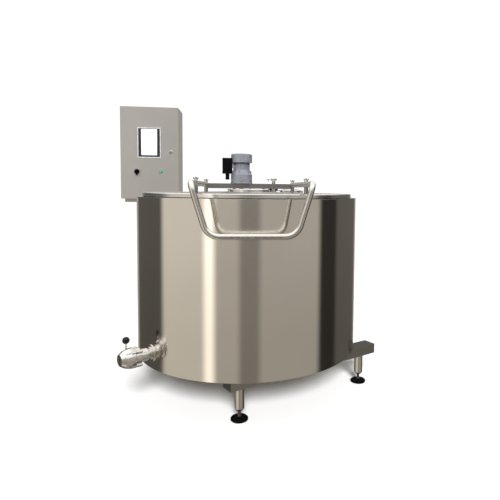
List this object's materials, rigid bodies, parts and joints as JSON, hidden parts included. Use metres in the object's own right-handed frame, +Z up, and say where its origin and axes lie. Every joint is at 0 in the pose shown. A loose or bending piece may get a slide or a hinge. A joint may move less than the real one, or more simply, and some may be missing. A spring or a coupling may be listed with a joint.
{
  "type": "bulk milk tank",
  "caption": "Round insulated stainless milk tank with a hinged lid, top agitator drive, U-shaped lifting handle, outlet valve, levelling feet and side control cabinet.",
  "frame": {"origin": "on the floor, under the middle of the whole object's box", "axes": "+Z up, +Y to the rear where the lid hinges and the cabinet stand, +X to the right as seen from the front; the control cabinet is at -X"},
  "size_m": [1.6662, 1.5637, 1.74],
  "materials": {
    "shell_steel": "brushed stainless steel, vertical grain",
    "lid_steel": "satin stainless steel",
    "vessel_steel": "smooth stainless steel",
    "polished_steel": "polished stainless steel tube",
    "cast_steel": "machined stainless steel",
    "frame_steel": "dull brushed stainless steel",
    "foam": "rigid polyurethane foam",
    "evaporator": "welded stainless steel plate",
    "black_rubber": "matt black rubber",
    "white_seal": "white sealing plastic",
    "black_plastic": "black moulded plastic",
    "knob_plastic": "glossy black plastic",
    "motor_paint": "silver-grey paint",
    "winding": "varnished laminations and copper",
    "shaft_steel": "ground steel",
    "cabinet_steel": "fine brushed stainless sheet",
    "control_gear": "grey switchgear on a zinc plate",
    "display_grey": "grey plastic frame",
    "screen": "lit display behind black-bordered glass",
    "button_green": "green plastic"
  },
  "bodies": {
    "tank": {"outer_shell": "shell_steel", "inner_vessel": "vessel_steel", "insulation": "foam", "evaporator_plate": "evaporator", "bottom_cover": "frame_steel", "top_ring": "lid_steel", "lid_gasket": "black_rubber", "base_beams": "frame_steel", "beam_end_caps": "frame_steel", "leg_tubes": "frame_steel", "outlet_pipe": "polished_steel", "union_nut": "cast_steel", "valve_body": "cast_steel", "valve_seals": "white_seal", "valve_bolts": "shaft_steel", "hinge_brackets": "frame_steel", "hinge_pins": "shaft_steel", "cabinet_bracket": "frame_steel", "cabinet_box": "cabinet_steel", "mounting_plate": "control_gear"},
    "lid": {"hinge_leaves": "frame_steel", "lid_shell": "lid_steel", "shaft_seal": "black_rubber", "bridge_bar": "frame_steel", "lift_handle": "polished_steel", "handle_studs": "frame_steel", "wing_nuts": "cast_steel", "inspection_ring": "lid_steel", "cleaning_fitting": "cast_steel", "gearbox_housing": "motor_paint", "motor_housing": "motor_paint", "stator": "winding", "fan_cowl": "motor_paint", "terminal_box": "black_plastic"},
    "inspection": {"inspection_cover": "lid_steel", "cover_grip": "black_plastic"},
    "agitator": {"agitator_shaft": "vessel_steel", "agitator_blades": "vessel_steel"},
    "rotor": {"motor_rotor": "shaft_steel", "cooling_fan": "black_plastic"},
    "valve": {"valve_disc": "cast_steel", "valve_lever": "polished_steel", "lever_knob": "knob_plastic"},
    "door": {"cabinet_door": "cabinet_steel", "door_gasket": "black_rubber", "display_frame": "display_grey", "display_screen": "screen", "switch_plate": "cabinet_steel", "button_ring": "shaft_steel"},
    "main_switch": {"switch_knob": "black_plastic"},
    "button": {"button_cap": "button_green"},
    "lock": {"lock_barrel": "shaft_steel"},
    "foot_1": {"foot_spindle_1": "shaft_steel", "foot_pad_1": "black_rubber"},
    "foot_2": {"foot_spindle_2": "shaft_steel", "foot_pad_2": "black_rubber"},
    "foot_3": {"foot_spindle_3": "shaft_steel", "foot_pad_3": "black_rubber"},
    "foot_4": {"foot_spindle_4": "shaft_steel", "foot_pad_4": "black_rubber"}
  },
  "joints": [
    {"name": "lid_hinge", "type": "hinge", "parent": "tank", "child": "lid", "pos_m": [0.0599, 0.60175, 1.1393], "axis": [-1, 0, 0], "range_deg": [0, 65]},
    {"name": "cover_hinge", "type": "hinge", "parent": "lid", "child": "inspection", "pos_m": [0.41891, 0.19775, 1.1566], "axis": [0, 1, 0], "range_deg": [0, 100]},
    {"name": "agitator_spin", "type": "hinge", "parent": "lid", "child": "agitator", "pos_m": [0.0149, -0.05225, 0.6], "axis": [0, 0, 1], "continuous": true},
    {"name": "rotor_spin", "type": "hinge", "parent": "lid", "child": "rotor", "pos_m": [0.0149, -0.05225, 1.3263], "axis": [0, 0, 1], "continuous": true},
    {"name": "valve_turn", "type": "hinge", "parent": "tank", "child": "valve", "pos_m": [-0.54386, -0.50722, 0.299], "axis": [-0.6018, 0.7986, 0], "range_deg": [0, 90]},
    {"name": "door_hinge", "type": "hinge", "parent": "tank", "child": "door", "pos_m": [-0.8271, 0.54575, 1.415], "axis": [0, 0, -1], "range_deg": [0, 110]},
    {"name": "lock_turn", "type": "hinge", "parent": "door", "child": "lock", "pos_m": [-0.48609, 0.53175, 1.422], "axis": [0, -1, 0], "range_deg": [0, 90]},
    {"name": "switch_turn", "type": "hinge", "parent": "door", "child": "main_switch", "pos_m": [-0.7221, 0.53175, 1.283], "axis": [0, 1, 0], "range_deg": [0, 90]},
    {"name": "button_push", "type": "slide", "parent": "door", "child": "button", "axis": [0, 1, 0], "range_m": [0, 0.004], "stiffness_N_per_m": 800, "springref_m": -0.002},
    {"name": "foot_level_1", "type": "slide", "parent": "tank", "child": "foot_1", "axis": [0, 0, 1], "range_m": [-0.02, 0.02]},
    {"name": "foot_level_2", "type": "slide", "parent": "tank", "child": "foot_2", "axis": [0, 0, 1], "range_m": [-0.02, 0.02]},
    {"name": "foot_level_3", "type": "slide", "parent": "tank", "child": "foot_3", "axis": [0, 0, 1], "range_m": [-0.02, 0.02]},
    {"name": "foot_level_4", "type": "slide", "parent": "tank", "child": "foot_4", "axis": [0, 0, 1], "range_m": [-0.02, 0.02]}
  ],
  "couplings": [
    {"joint": "rotor_spin", "follows": "agitator_spin", "ratio": 40}
  ]
}
